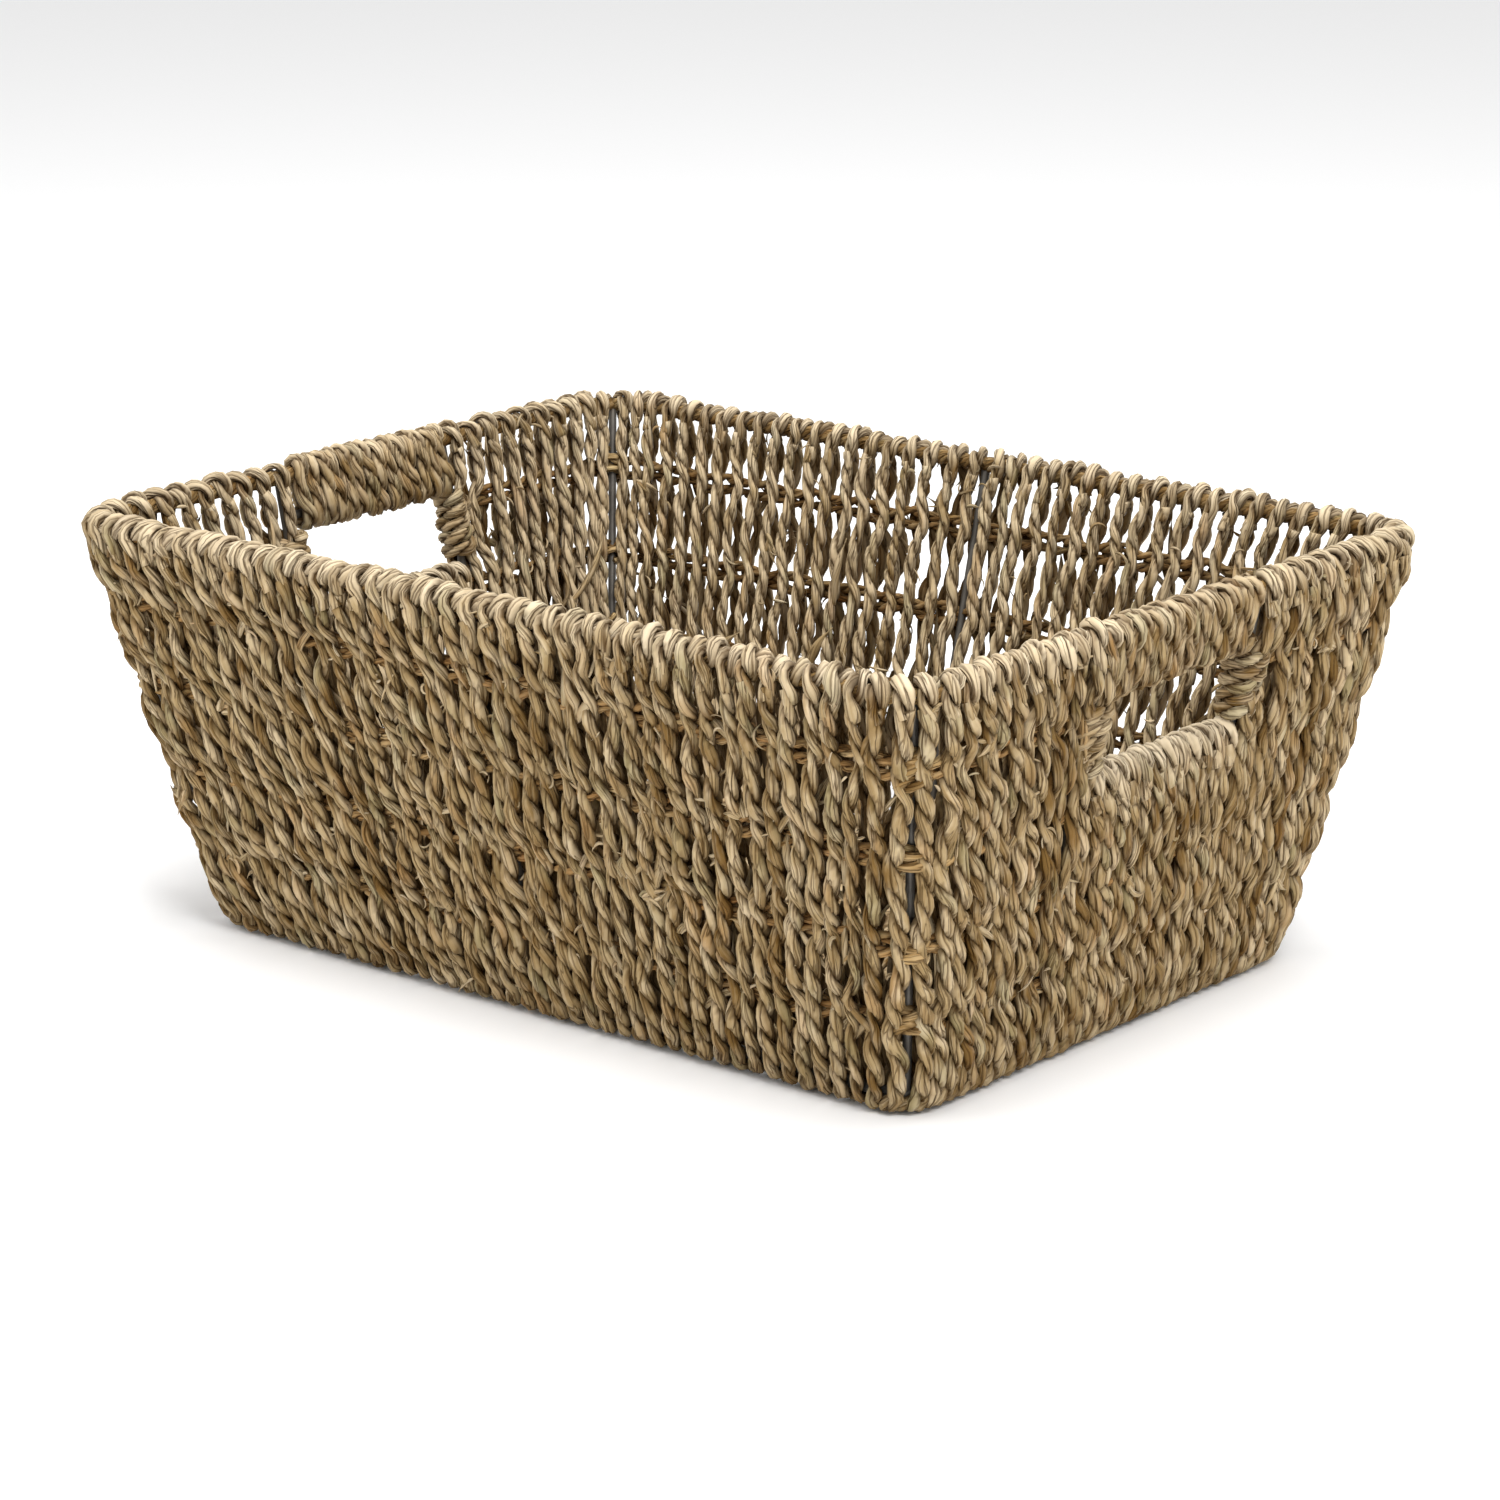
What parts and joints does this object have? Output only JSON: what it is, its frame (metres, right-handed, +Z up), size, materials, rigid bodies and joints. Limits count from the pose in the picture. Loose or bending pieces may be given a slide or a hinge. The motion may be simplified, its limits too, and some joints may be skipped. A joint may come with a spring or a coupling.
{
  "type": "seagrass storage basket",
  "caption": "Open rectangular storage basket with sloping walls, two-ply seagrass cord wound on a wire frame, and a hand hole in each end.",
  "frame": {"origin": "middle of the underside, on the plane the basket stands on", "axes": "+Z up through the open top, +X along the length towards the right end's hand hole, -Y the front wall"},
  "size_m": [0.3996, 0.3066, 0.162],
  "materials": {
    "seagrass_cord": "dry twisted seagrass, olive and tan",
    "handle_cord": "dry twisted seagrass, pale straw",
    "weft_cord": "thin brown twine",
    "steel_wire": "dull dark grey drawn wire"
  },
  "bodies": {
    "root": {"back_left_corner_cords": "seagrass_cord", "back_left_corner_upright": "steel_wire", "back_middle_upright": "steel_wire", "back_right_corner_cords": "seagrass_cord", "back_right_corner_upright": "steel_wire", "back_wall_cords": "seagrass_cord", "base_wire": "steel_wire", "floor_top_cords": "seagrass_cord", "floor_under_cords": "seagrass_cord", "floor_weft_back": "weft_cord", "floor_weft_front": "weft_cord", "floor_weft_middle": "weft_cord", "floor_wire_back": "steel_wire", "floor_wire_front": "steel_wire", "front_left_corner_cords": "seagrass_cord", "front_left_corner_upright": "steel_wire", "front_middle_upright": "steel_wire", "front_right_corner_cords": "seagrass_cord", "front_right_corner_upright": "steel_wire", "front_wall_cords": "seagrass_cord", "left_end_cords": "seagrass_cord", "left_grip_wire": "steel_wire", "left_grip_wrap": "handle_cord", "left_handle_back_lashing": "handle_cord", "left_handle_back_upright": "steel_wire", "left_handle_front_lashing": "handle_cord", "left_handle_front_upright": "steel_wire", "left_sill_wire": "steel_wire", "left_sill_wrap": "handle_cord", "right_end_cords": "seagrass_cord", "right_grip_wire": "steel_wire", "right_grip_wrap": "handle_cord", "right_handle_back_lashing": "handle_cord", "right_handle_back_upright": "steel_wire", "right_handle_front_lashing": "handle_cord", "right_handle_front_upright": "steel_wire", "right_sill_wire": "steel_wire", "right_sill_wrap": "handle_cord", "rim_wire": "steel_wire", "weft_row_1": "weft_cord", "weft_row_2": "weft_cord", "weft_row_3": "weft_cord", "weft_row_4": "weft_cord"}
  },
  "joints": []
}
